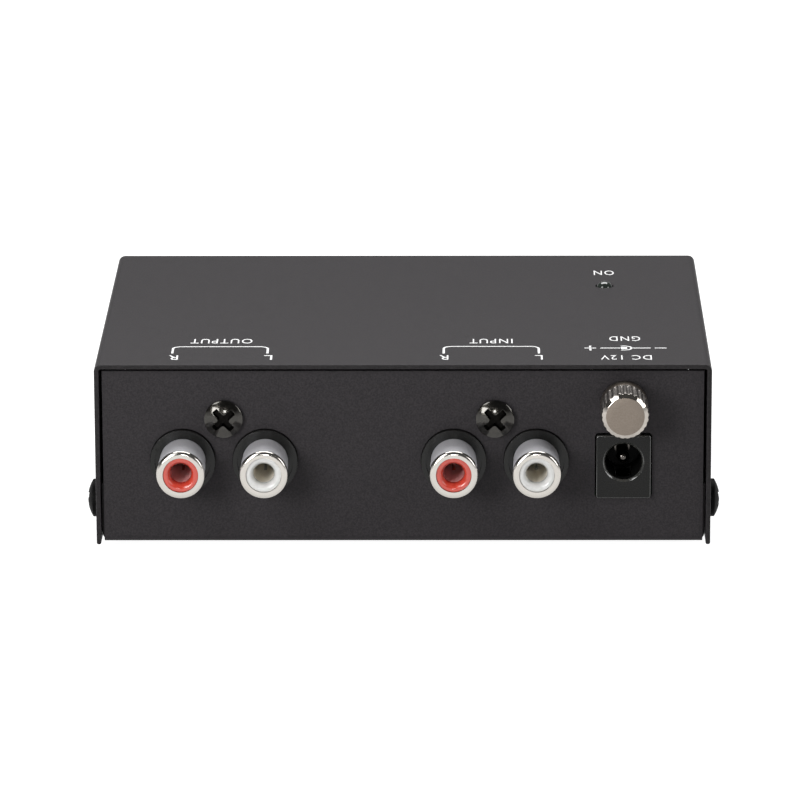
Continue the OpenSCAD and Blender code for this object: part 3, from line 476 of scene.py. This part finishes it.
# %% Fold the cover
low, high = box_of("top_cover")
sheet_t = 0.8
fold_r = 1.2
clear()
bpy.ops.mesh.primitive_cube_add(size=1, location=(low + high) / 2 * mm, scale=(high - low) * mm)
cover = place_now("folded_cover")
edit()
pick("faces", lambda middle, face: face.normal.z < -0.5 or abs(face.normal.y) > 0.5)
bpy.ops.mesh.delete(type="FACE")
bpy.ops.mesh.select_mode(type="EDGE")
pick("edges", lambda middle, edge: middle.z > high.z - 0.01 and abs(middle.x) > high.x - 0.01)
bpy.ops.mesh.bevel(offset=fold_r * mm, segments=8, affect="EDGES")
leave()
use(cover, "SOLIDIFY", thickness=sheet_t * mm, offset=-1, use_even_offset=True)
edit("EDGE")
pick("edges", lambda middle, edge: middle.z < low.z + 0.01 and edge.calc_length() > 20 * mm)
bpy.ops.mesh.bevel(offset=0.34 * mm, segments=4, affect="EDGES")
leave()


# %% Cut its holes
def drill(piece, spots, radius, length, turn=(0, 0, 0)):
    """Cuts one round hole at each spot with a cylinder that is then thrown away."""
    for spot in spots:
        clear()
        bpy.ops.mesh.primitive_cylinder_add(
            vertices=64, radius=radius * mm, depth=length * mm, location=Vector(spot) * mm,
            rotation=turn)
        cutter = bpy.context.object
        use(piece, "BOOLEAN", operation="DIFFERENCE", object=cutter, solver="EXACT")
        bpy.data.objects.remove(cutter)


lamp_low, lamp_high = box_of("led")
lamp_x, lamp_y = ((lamp_low + lamp_high) / 2).xy
drill(cover, [(lamp_x, lamp_y, high.z)], 1.6, 4)
screw_z = 8.0
screw_rows = (high.y - 8, low.y + 8)
drill(cover, [(side * high.x, y, screw_z) for side in (-1, 1) for y in screw_rows], 1.65, 4,
      (0, math.pi / 2, 0))
soften(cover, 0.12)
hand_over(cover, [powder_coat, cut_edge], "top_cover")
for face in cover.data.polygons:
    if face.normal.y > 0.9 and face.center.y > (high.y - 0.01) * mm and face.center.z > low.z * mm:
        face.material_index = 1
print("cut edge faces:", sum(face.material_index for face in cover.data.polygons))


# %% [markdown]
# ## Softened copies
# The tray, the socket housings and the power socket already have the right shape, only with
# knife-sharp edges. A copy of the CAD mesh is merged, its flat triangles are dissolved into
# whole faces, and a bevel rounds what is left. The front plate's upright edges stand 0.4 mm
# further out than in the CAD, or a ray would slip from the rear gap out through the front one.

# %% Copy, merge and soften
def merged_copy(node, name):
    clear()
    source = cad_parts[node]
    piece = bpy.data.objects.new(name, source.data.copy())
    bpy.context.scene.collection.objects.link(piece)
    piece.data.materials.clear()
    piece.select_set(True)
    bpy.context.view_layer.objects.active = piece
    edit("VERT")
    bpy.ops.mesh.select_all(action="SELECT")
    bpy.ops.mesh.remove_doubles(threshold=0.002 * mm)
    bpy.ops.mesh.dissolve_limited(angle_limit=math.radians(0.5))
    bpy.ops.mesh.customdata_custom_splitnormals_clear()
    leave()
    return piece


def highlight_edges(piece, front_y, index):
    """Gives the rounded edges in front of front_y their glossy finish with its painted highlight.
    """
    for face in piece.data.polygons:
        if face.center.y > front_y * mm and 0.1 < face.normal.y < 0.97:
            face.material_index = index


# %% Tray and socket bodies
tray = merged_copy("chassis_tray", "folded_tray")
front_plate_y = -40.2
front_edge_x = 50.95
widened = 0.4
moved = 0
for corner in tray.data.vertices:
    x, y, z = corner.co / mm
    if y < front_plate_y and abs(abs(x) - front_edge_x) < 0.01:
        corner.co.x = math.copysign((front_edge_x + widened) * mm, x)
        moved += 1
print("corners of the front plate moved:", moved)
soften(tray, 0.1)
hand_over(tray, powder_coat, "chassis_tray")
panel_outside_y = 33
for side in ("output", "input"):
    body = merged_copy(f"{side}_jack_housing", f"{side}_socket_body")
    soften(body, 0.26, 4)
    hand_over(body, [black_abs, edge_highlight], f"{side}_jack_housing")
    highlight_edges(body, panel_outside_y, 1)

# %% [markdown]
# The power socket's outer edge is rounded more than its bore, whose rim stays crisp. The
# walls of the bore get the painted shade, and the outer edge the glossy finish with its
# painted highlight.

# %% Power socket
low, high = box_of("dc_jack_housing")
bore_axis = Vector(((low.x + high.x) / 2, 0, high.z - (high.x - low.x) / 2))
bore_r = 3.15
power = merged_copy("dc_jack_housing", "power_socket_body")
bpy.context.view_layer.objects.active = power
edit("EDGE")
print("outer edges:", pick("edges", lambda middle, edge: middle.y > high.y - 0.01
                           and (middle - bore_axis).xz.length > bore_r + 0.5))
bpy.ops.mesh.bevel(offset=0.26 * mm, segments=4, affect="EDGES")
leave()
soften(power, 0.06)
hand_over(power, [black_nylon, bore_shade_nylon, edge_highlight], "dc_jack_housing")
highlight_edges(power, high.y - 0.4, 2)
# The bore's walls take the painted shade.
for face in power.data.polygons:
    middle = face.center / mm
    if middle.y < high.y - 0.25 and (middle - bore_axis).xz.length < bore_r + 0.1:
        face.material_index = 1


# %% [markdown]
# ## Turned pieces
# A lathe turns an outline into a solid. The outline is drawn corner by corner from a single
# vertex, then spun round the axis; doubles on the seam and the axis are merged and the
# normals are made to point outwards.

# %% Lathe
def arc(middle, radius, start, end, steps):
    """Points on an arc, from one angle to the other in degrees."""
    turns = [math.radians(start + (end - start) * i / steps) for i in range(steps + 1)]
    return [(middle[0] + radius * math.cos(t), middle[1] + radius * math.sin(t)) for t in turns]


def turned(name, outline, axis, steps=96, ring=False):
    """Spins an outline of (radius, y) round the line along Y through axis = (x, z), in mm."""
    clear()
    x, z = axis
    start = Vector((x + outline[0][0], outline[0][1], z)) * mm
    bpy.ops.mesh.primitive_plane_add(size=mm, location=start)
    piece = place_now(name)
    edit("VERT")
    bpy.ops.mesh.select_all(action="SELECT")
    bpy.ops.mesh.merge(type="CENTER")
    for near, far in zip(outline, outline[1:] + outline[:1] * ring):
        step = Vector((far[0] - near[0], far[1] - near[1], 0)) * mm
        bpy.ops.mesh.extrude_vertices_move(TRANSFORM_OT_translate={"value": step})
    bpy.ops.mesh.select_all(action="SELECT")
    bpy.ops.mesh.spin(steps=steps, angle=math.tau, center=Vector((x, 0, z)) * mm,
                      axis=(0, 1, 0))
    bpy.ops.mesh.select_all(action="SELECT")
    bpy.ops.mesh.remove_doubles(threshold=0.002 * mm)
    bpy.ops.mesh.normals_make_consistent(inside=False)
    leave()
    return piece


# %% [markdown]
# ## Insulators
# The coloured sleeve lines the barrel. Its face is flat, then rolls over into the hole with
# a large glossy round, which is what shows as a bright ring. A tiny round at the outer edge
# leaves the dark hairline between colour and metal.

# %% Turn the four insulators
socket_names = ["output_right", "output_left", "input_right", "input_left"]
insulator_r = 3.0
hole_r = 1.75
contact_r = 2.0
mouth_r = 0.8
mouth_l = 1.4
hairline = 0.14
for socket in socket_names:
    low, high = box_of(f"{socket}_insulator")
    axis = (low.x + high.x) / 2, (low.z + high.z) / 2
    contact_front = box_of(f"{socket}_contact")[1].y
    outline = [(contact_r, low.y), (insulator_r, low.y)]
    outline += arc((insulator_r - hairline, high.y - hairline), hairline, 0, 90, 5)
    outline += [(hole_r + mouth_r + x, high.y - mouth_l + y * mouth_l / mouth_r)
                for x, y in arc((0, 0), mouth_r, 90, 180, 14)]
    outline += [(hole_r, contact_front), (contact_r, contact_front)]
    tint = "red" if "right" in socket else "white"
    hand_over(turned(f"{socket}_sleeve", outline, axis, ring=True),
              red_nylon if tint == "red" else white_nylon,
              f"{socket}_insulator", smooth=40)

# %% [markdown]
# ## Barrels
# A phono barrel isn't quite a cylinder: it is a little thinner at the panel and widens to
# a rolled lip that stands a hair proud. The corners at the step behind the collar and those
# just behind the lip are drawn in; the lip and the hidden solder tag stay as they are.

# %% Taper the four barrels
root_radius = 3.8
neck_radius = 4.06
hidden_y = 32
step_y = 36
lip_l = 0.69
for socket in socket_names:
    low, high = box_of(f"{socket}_insulator")
    axis = Vector(((low.x + high.x) / 2, 0, (low.z + high.z) / 2))
    barrel = merged_copy(f"{socket}_barrel", f"{socket}_plated_barrel")
    neck_y = box_of(f"{socket}_barrel")[1].y - lip_l
    drawn = 0
    for corner in barrel.data.vertices:
        place = corner.co / mm
        out = (place - axis).xz.length
        if hidden_y < place.y < neck_y and out > root_radius:
            at_step = root_radius + (out - root_radius) / 5
            radius = at_step if place.y < step_y else neck_radius
            x, z = (place - axis).xz * radius / out
            corner.co = Vector((axis.x + x, place.y, axis.z + z)) * mm
            drawn += 1
    print("corners drawn in:", drawn)
    hand_over(barrel, barrel_metal, f"{socket}_barrel", smooth=35)

# %% [markdown]
# ## Pan-head screws
# The head is turned, then a cross recess is cut with a tool shaped like the driver's bit: a
# small block whose four sides are drawn out into wings, with rounded corners and a taper
# towards the bottom. The bevel round the recess is the thin bright line on the real screw.
# Its faces, the recess's and the dome's are told apart by their depth under the dome.

# %% Turn and cut one screw
screw_axis = (0, 0)
head_r = 3.25
head_h = 1.845
edge_h = 0.9
rim_w = 0.13
cap_h = head_h - edge_h
dome_r = (head_r ** 2 + cap_h ** 2) / (2 * cap_h)
dome_half = math.degrees(math.asin(head_r / dome_r))


def pan_screw(name, length, thread_r=1.5):
    """One screw that points along +Y with its head's underside at y = 0."""
    outline = [(0, -length), (thread_r - 0.2, -length), (thread_r, -length + 0.3),
               (thread_r, 0), (head_r - 0.15, 0), (head_r, 0.15)]
    outline += arc((0, head_h - dome_r), dome_r, 90 - dome_half, 90, 14)
    screw = turned(name, outline, screw_axis, 72)
    clear()
    half, reach, depth = 0.6, 2.52, 1.3
    bpy.ops.mesh.primitive_cube_add(size=1, location=(0, (head_h + 0.1 - depth / 2) * mm, 0),
                                    scale=(2 * half * mm, (depth + 0.2) * mm, 2 * half * mm))
    bit = place_now("driver_bit")
    edit()
    for way in ((1, 0, 0), (-1, 0, 0), (0, 0, 1), (0, 0, -1)):
        wing = Vector(way)
        pick("faces", lambda middle, face: face.normal.dot(wing) > 0.9
             and (middle - middle.dot(wing) * wing).xz.length < 0.1)
        bpy.ops.mesh.extrude_region_move(
            TRANSFORM_OT_translate={"value": wing * (reach - half) * mm})
    bpy.ops.mesh.select_mode(type="EDGE")
    pick("edges", lambda middle, edge: abs(abs(middle.x) - half) < 0.01
         and abs(abs(middle.z) - half) < 0.01 and edge.calc_length() > 0.9 * mm)
    bpy.ops.mesh.bevel(offset=0.42 * mm, segments=5, affect="EDGES")
    pick("edges", lambda middle, edge: max(abs(middle.x), abs(middle.z)) > reach - 0.01
         and min(abs(middle.x), abs(middle.z)) > half - 0.01
         and abs(edge.verts[0].co.y - edge.verts[1].co.y) > 0.9 * mm)
    bpy.ops.mesh.bevel(offset=0.22 * mm, segments=4, affect="EDGES")
    bpy.ops.mesh.select_mode(type="FACE")
    pick("faces", lambda middle, face: face.normal.y < -0.9)
    bpy.ops.transform.resize(value=(0.72, 1, 0.72))
    leave()
    use(screw, "BOOLEAN", operation="DIFFERENCE", object=bit, solver="EXACT")
    bpy.data.objects.remove(bit)
    soften(screw, rim_w, 2, 35)
    # Faces in the recess take the painted shade (index 1), those of the bevel round it the rim
    # finish (index 2).
    for face in screw.data.polygons:
        x, y, z = face.center / mm
        dome = math.sqrt(dome_r ** 2 - x * x - z * z) + head_h - dome_r
        if 0 < y < dome - rim_w and math.hypot(x, z) < reach:
            face.material_index = 1
        elif 0.02 < dome - y < rim_w and math.hypot(x, z) < reach:
            face.material_index = 2
    return screw


# %% Set the screws in place
def set_screws(name, model, spots, finishes, node):
    """Copies the screw to each (place, direction) and joins the copies to one piece."""
    for one in finishes:
        model.data.materials.append(one)
    copies = []
    for spot, way in spots:
        clear()
        model.select_set(True)
        bpy.context.view_layer.objects.active = model
        bpy.ops.object.duplicate(linked=False)
        copy = bpy.context.object
        turn = Vector((0, 1, 0)).rotation_difference(Vector(way))
        copy.matrix_world = (Matrix.Translation(Vector(spot) * mm) @ turn.to_matrix().to_4x4()
                             @ Matrix.Rotation(math.radians(42), 4, "Y"))
        copies.append(copy)
    clear()
    for copy in copies:
        copy.select_set(True)
    bpy.context.view_layer.objects.active = copies[0]
    bpy.ops.object.join()
    bpy.data.objects.remove(model)
    return hand_over(place_now(name), [], node, smooth=35)


low, high = box_of("jack_screws")
flange_t = 0.6
panel_y = box_of("ground_washer")[0].y - flange_t
screw_x = (high.x - head_r, low.x + head_r)
set_screws("socket_screws", pan_screw("long_screw", 8),
           [((x, panel_y, (low.z + high.z) / 2), (0, 1, 0)) for x in screw_x],
           [black_nickel, recess_shade, worn_highlight_rim], "jack_screws")
side_x = box_of("top_cover")[1].x
# The side screws take the painted shade all over.
set_screws("cover_screws", pan_screw("short_screw", 4),
           [((side * side_x, y, screw_z), (side, 0, 0))
            for side in (-1, 1) for y in screw_rows],
           [shade_black_steel, recess_shade, shade_black_steel], "side_screws")

# %% [markdown]
# ## Earth terminal
# A brass post comes through the panel, with a loose washer and a thumb nut on it. The nut is
# the part that a hand turns, so it has fine flutes with rounded ends, a plain collar, a
# polished bevel and a flat satin face.

# %% Washer
low, high = box_of("ground_washer")
post_axis = (low.x + high.x) / 2, (low.z + high.z) / 2
bore_r = 2.05
washer_r = (high.x - low.x) / 2
edge = 0.12
outline = [(bore_r, low.y), (washer_r - edge, low.y)]
outline += [(washer_r, low.y + edge)]
outline += arc((washer_r - edge, high.y - edge), edge, 0, 90, 4) + [(bore_r, high.y)]
hand_over(turned("plated_washer", outline, post_axis, ring=True), knurled_nickel,
          "ground_washer", "washer")

# %% [markdown]
# ### Threaded post
# A thread is an outline of teeth that climbs by one pitch in each full turn. The Screw
# modifier does just that: after one turn every tooth lands where its neighbour began.

# %% Thread and flange
low, high = box_of("ground_post")
flange_low, flange_high = panel_y, panel_y + flange_t
pitch = 0.7
crest_r = 2.0
root_r = 1.62
tooth = [(root_r, 0.0), (crest_r, 0.26), (crest_r, 0.35), (root_r, 0.61)]
teeth = int((high.y - low.y) / pitch) - 1
clear()
start = Vector((post_axis[0] + root_r, low.y + 0.3, post_axis[1])) * mm
bpy.ops.mesh.primitive_plane_add(size=mm, location=start)
thread = place_now("earth_post")
edit("VERT")
bpy.ops.mesh.select_all(action="SELECT")
bpy.ops.mesh.merge(type="CENTER")
corners = [(r, y + pitch * i) for i in range(teeth) for r, y in tooth] + [(root_r, pitch * teeth)]
for near, far in zip(corners, corners[1:]):
    step = Vector((far[0] - near[0], far[1] - near[1], 0)) * mm
    bpy.ops.mesh.extrude_vertices_move(TRANSFORM_OT_translate={"value": step})
leave()
cursor = bpy.context.scene.cursor
cursor.location = Vector((post_axis[0], 0, post_axis[1])) * mm
bpy.ops.object.origin_set(type="ORIGIN_CURSOR")
cursor.location = (0, 0, 0)
use(thread, "SCREW", axis="Y", screw_offset=pitch * mm, steps=48, render_steps=48,
    use_merge_vertices=True, merge_threshold=0.002 * mm)
bpy.ops.object.transform_apply(location=True, rotation=True, scale=True)
edit("EDGE")
bpy.ops.mesh.select_all(action="SELECT")
bpy.ops.mesh.remove_doubles(threshold=0.004 * mm)
pick("edges", lambda middle, edge: edge.is_boundary)
bpy.ops.mesh.edge_face_add()
bpy.ops.mesh.select_all(action="SELECT")
bpy.ops.mesh.normals_make_consistent(inside=False)
leave()
core = turned("post_core", [(0, low.y), (root_r + 0.02, low.y), (root_r + 0.02, high.y - 0.3),
                            (root_r - 0.3, high.y), (0, high.y)], post_axis, 48)
flange_r = (high.x - low.x) / 2
collar = turned("post_flange", [(0, flange_low), (flange_r, flange_low),
                                (flange_r, flange_high - 0.1), (flange_r - 0.1, flange_high),
                                (0, flange_high)], post_axis, 64)
clear()
for part in (core, collar, thread):
    part.select_set(True)
bpy.context.view_layer.objects.active = thread
bpy.ops.object.join()
hand_over(place_now("earth_post"), bare_brass, "ground_post")

# %% [markdown]
# ### Thumb nut
# The body is turned first, with rings close together where the shape changes. Then each
# vertex that lies inside a flute's cutter is pushed in to the cutter's wall, softly, so the
# ridges between the flutes end up rounded as they are after plating.

# %% Turn the nut's body
low, high = box_of("ground_thumb_nut")
nut_r = (high.x - low.x) / 2
back_y, face_y = low.y, high.y
collar_l = 2.4
bevel_l = 0.5
shoulder = [(0, 0.9), (0.02, 0.76), (0.06, 0.63), (0.15, 0.5)]
face_r = 3.25
flutes = 25
per_flute = 16
bore_l = 5.9
flute_r = 0.38
flute_depth = 0.22
rings = [2.2, 2.38, 2.42, 2.47, 2.53, 2.6, 2.68, 2.78, 3.2, 4.2, 5.4, 6.4, 6.8]
rim_r = nut_r - 0.15
slope = [(rim_r + (face_r - rim_r) * i / 14, face_y - bevel_l + bevel_l * i / 14)
         for i in range(1, 14)]
outline = [(0, back_y + bore_l), (bore_r, back_y + bore_l), (bore_r, back_y),
           (nut_r - 0.3, back_y)]
outline += arc((nut_r - 0.3, back_y + 0.3), 0.3, -75, 0, 5)
outline += [(nut_r, back_y + ring) for ring in rings]
outline += [(nut_r - inward, face_y - behind) for inward, behind in shoulder]
outline += slope + [(face_r, face_y - 0.015), (face_r - 0.05, face_y), (face_r / 2, face_y),
                    (0, face_y)]
nut = turned("fluted_thumb_nut", outline, post_axis, flutes * per_flute)

# %% Push in the flutes
cutter_at = nut_r - flute_depth + flute_r
ball_y = back_y + collar_l + flute_r
blend = 0.05
for corner in nut.data.vertices:
    x, y, z = corner.co / mm
    dx, dz = x - post_axis[0], z - post_axis[1]
    radius = math.hypot(dx, dz)
    if radius < face_r or y < back_y + collar_l:
        continue
    wide = flute_r if y > ball_y else math.sqrt(max(0, flute_r ** 2 - (ball_y - y) ** 2))
    step = math.tau / flutes
    angle = (math.atan2(dx, -dz) + step / 2) % step - step / 2
    inside = wide ** 2 - (cutter_at * math.sin(angle)) ** 2
    if inside <= 0:
        continue
    wall = cutter_at * math.cos(angle) - math.sqrt(inside)
    mix = max(0, min(1, 0.5 + (radius - wall) / (2 * blend)))
    new = radius + (wall - radius) * mix - blend * mix * (1 - mix)
    new = min(new, radius)
    corner.co = Vector((post_axis[0] + dx * new / radius, y,
                        post_axis[1] + dz * new / radius)) * mm
nut.data.update()
hand_over(nut, [polished_nickel, satin_nickel, knurled_nickel],
          "ground_thumb_nut", "thumb_nut", smooth=50)
for face in nut.data.polygons:
    y = face.center.y / mm
    if y > face_y - 0.01 or y < back_y + collar_l:
        face.material_index = 1
    elif back_y + collar_l < y < face_y - bevel_l:
        face.material_index = 2
print("satin faces:", sum(face.material_index == 1 for face in nut.data.polygons))


# %% [markdown]
# ## Printed marks
# White ink is screen-printed on the top, to be read from the front, so it stands upside down
# when the sockets face the viewer. The words are generic labels. Each is set as text, made a
# mesh, stretched to its box and laid on the sheet as a film of ink.

# %% Ink helpers
top_z = box_of("top_cover")[1].z
rear_y = box_of("top_cover")[1].y
ink_t = 0.02
print_parts = []


def lay_word(word, left, right, near, far):
    """A word whose letters fill x from left to right; near and far are measured from the rear."""
    clear()
    bpy.ops.object.text_add()
    letters = bpy.context.object
    letters.data.body = word
    letters.data.size = 1
    letters.data.extrude = 0.5
    letters.data.space_character = 1.15
    letters.data.resolution_u = 6
    bpy.ops.object.convert(target="MESH")
    letters = bpy.context.object
    corners = [corner.co for corner in letters.data.vertices]
    lo = Vector([min(c[i] for c in corners) for i in range(3)])
    hi = Vector([max(c[i] for c in corners) for i in range(3)])
    size = Vector((right - left, far - near, ink_t))
    scale = [size[i] / (hi[i] - lo[i]) for i in range(3)]
    base = Vector((left, rear_y + near, top_z - ink_t / 4))
    letters.scale = Vector(scale) * mm
    letters.location = (base - Vector([lo[i] * scale[i] for i in range(3)])) * mm
    print_parts.append(place_now("word"))


def lay_stroke(points, width):
    """A printed line through points given as x and distance from the rear edge."""
    clear()
    start = Vector((points[0][0], rear_y + points[0][1], top_z - ink_t / 4)) * mm
    bpy.ops.mesh.primitive_plane_add(size=mm, location=start)
    line = place_now("stroke")
    edit("VERT")
    bpy.ops.mesh.select_all(action="SELECT")
    bpy.ops.mesh.merge(type="CENTER")
    for near, far in zip(points, points[1:]):
        step = Vector((far[0] - near[0], far[1] - near[1], 0)) * mm
        bpy.ops.mesh.extrude_vertices_move(TRANSFORM_OT_translate={"value": step})
    bpy.ops.mesh.select_mode(type="EDGE")
    bpy.ops.mesh.select_all(action="SELECT")
    bpy.ops.mesh.extrude_region_move(
        TRANSFORM_OT_translate={"value": Vector((0, 0, ink_t * mm))})
    leave()
    use(line, "SOLIDIFY", thickness=width * mm, offset=0, use_even_offset=True)
    edit("FACE")
    bpy.ops.mesh.select_all(action="SELECT")
    bpy.ops.mesh.normals_make_consistent(inside=False)
    leave()
    print_parts.append(line)


def bracket(left, right, back, legs, width):
    """A bracket with rounded corners that opens towards the rear."""
    turn = 1.4
    points = [(left, legs)] + arc((left + turn, back + turn), turn, 180, 270, 6)
    points += arc((right - turn, back + turn), turn, 270, 360, 6) + [(right, legs)]
    lay_stroke(points, width)


# %% Print the marks
stroke = 0.38
bracket(23.1, 39.3, -11.9, -7.5, stroke)
bracket(-23.1, -6.9, -12.0, -7.4, stroke)
for word, left, right, near, far in [
        ("OUTPUT", 25.9, 36.5, -17.0, -14.1), ("INPUT", -18.7, -11.3, -17.0, -14.1),
        ("R", 38.2, 39.8, -6.2, -3.35), ("L", 22.2, 23.6, -6.2, -3.35),
        ("R", -7.7, -6.2, -6.2, -3.35), ("L", -23.7, -22.4, -6.2, -3.35),
        ("ON", -37.3, -33.7, -64.6, -61.5), ("GND", -40.6, -35.3, -18.6, -15.6),
        ("DC 12V", -42.2, -33.55, -6.1, -3.3)]:
    lay_word(word, left, right, near, far)
symbol_y = -10.88
lay_stroke([(-32.9, symbol_y), (-30.9, symbol_y)], stroke)
lay_stroke([(-31.9, symbol_y - 1.5), (-31.9, symbol_y + 1.5)], 0.36)
lay_stroke([(-37.0, symbol_y), (-33.6, symbol_y)], stroke)
lay_stroke([(-42.2, symbol_y), (-39.0, symbol_y)], stroke)
lay_stroke([(-44.9, symbol_y), (-42.9, symbol_y)], stroke)
lay_stroke(arc((-37.6, symbol_y), 1.35, 70, 290, 16), 0.36)
lay_stroke([(-38.2, symbol_y), (-37.1, symbol_y)], 1.2)
clear()
for part in print_parts:
    part.select_set(True)
bpy.context.view_layer.objects.active = print_parts[0]
bpy.ops.object.join()
hand_over(place_now("printed_marks"), white_ink, None)

# %% [markdown]
# ## Size
# The size of the dressed part is printed.

# %% Sizes and the end
low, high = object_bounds()
print("dressed size in mm:", [round(side / mm, 2) for side in high - low])
